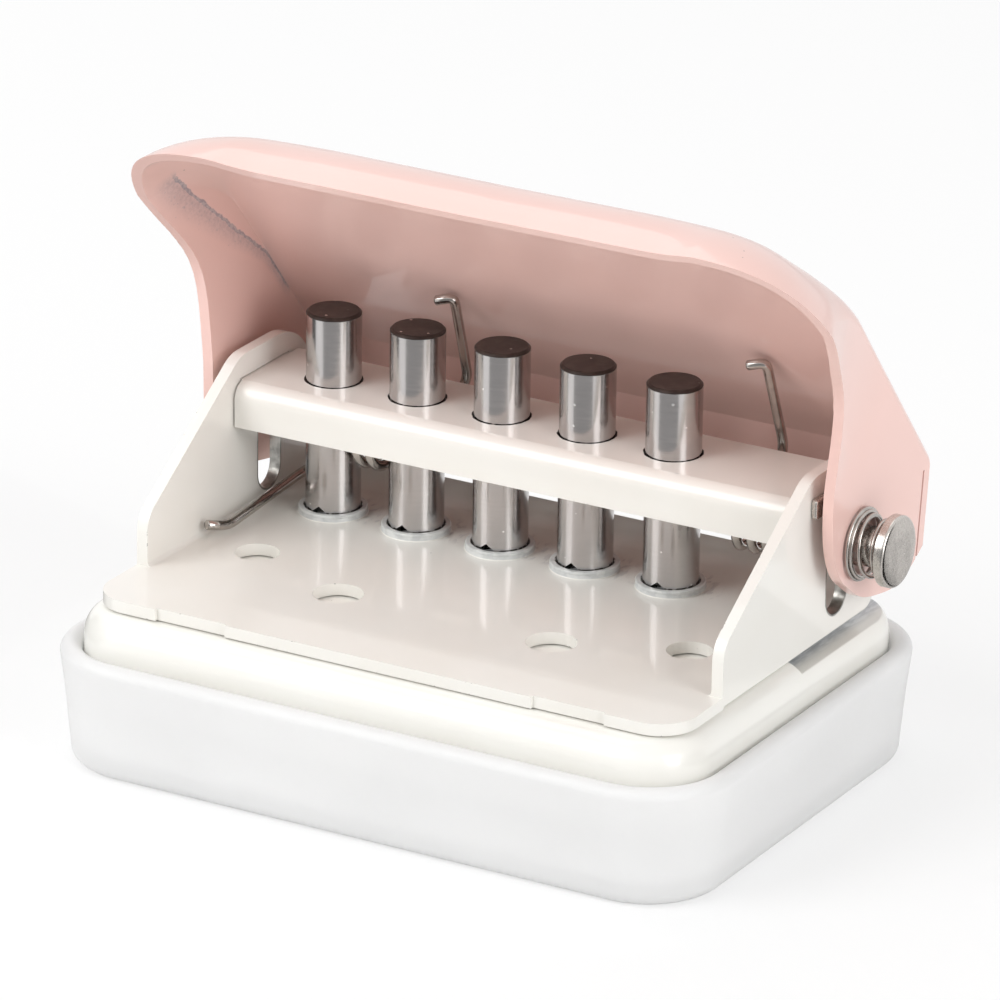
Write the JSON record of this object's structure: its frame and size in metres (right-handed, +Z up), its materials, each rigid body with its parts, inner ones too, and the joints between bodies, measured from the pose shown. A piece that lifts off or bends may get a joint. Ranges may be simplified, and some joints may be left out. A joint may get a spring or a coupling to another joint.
{
  "type": "binding hole punch",
  "caption": "Lever-operated desk punch that cuts a row of round holes in loose-leaf paper, with guide bar, sprung pins, pink cover and clear chip tray",
  "frame": {"origin": "centre of the flat face that the chip tray rests on", "axes": "+X to the right along the row of pins, +Y to the back where the paper goes in, +Z up"},
  "size_m": [0.0771, 0.0524, 0.0598],
  "materials": {
    "frosted_tray": "frosted clear moulding",
    "ivory_base": "glossy ivory enamel",
    "ivory_enamel": "glossy ivory enamel on pressed sheet",
    "pink_enamel": "glossy pale pink enamel on pressed sheet",
    "ground_steel": "satin ground along the pin",
    "die_steel": "ground, dull",
    "nickel": "bright nickel plate",
    "spring_steel": "plated spring wire"
  },
  "bodies": {
    "body": {"frame": "ivory_enamel", "guide_bar": "ivory_enamel", "base_shell": "ivory_base", "die_plate": "die_steel"},
    "tray": {"chip_tray": "frosted_tray"},
    "carriage": {"punch_pin_1": "ground_steel", "punch_pin_2": "ground_steel", "punch_pin_3": "ground_steel", "punch_pin_4": "ground_steel", "punch_pin_5": "ground_steel", "torsion_spring_left": "spring_steel", "torsion_spring_right": "spring_steel", "conical_spring": "spring_steel"},
    "lock": {"cross_rod": "nickel", "lock_button": "nickel", "retaining_ring": "spring_steel"},
    "lever": {"cover": "pink_enamel"}
  },
  "joints": [
    {"name": "punch_slide", "type": "slide", "parent": "body", "child": "carriage", "axis": [0, 0, 1], "range_m": [-0.0042, 0], "deforming": ["torsion_spring_left", "torsion_spring_right"]},
    {"name": "cover_hinge", "type": "hinge", "parent": "carriage", "child": "lever", "pos_m": [0, 0.01005, 0.0259], "axis": [1, 0, 0], "range_deg": [0, 62], "stiffness_Nm_per_rad": 0.05, "springref_deg": -85.94, "deforming": ["torsion_spring_left", "torsion_spring_right"]},
    {"name": "lock_slide", "type": "slide", "parent": "carriage", "child": "lock", "axis": [1, 0, 0], "range_m": [-0.0016, 0], "stiffness_N_per_m": 300, "springref_m": 0.004, "deforming": ["conical_spring"]},
    {"name": "tray_slide", "type": "slide", "parent": "body", "child": "tray", "axis": [0, 0, 1], "range_m": [-0.012, 0]}
  ],
  "couplings": [
    {"joint": "cover_hinge", "follows": "punch_slide", "rad_per_m": -257.6}
  ]
}
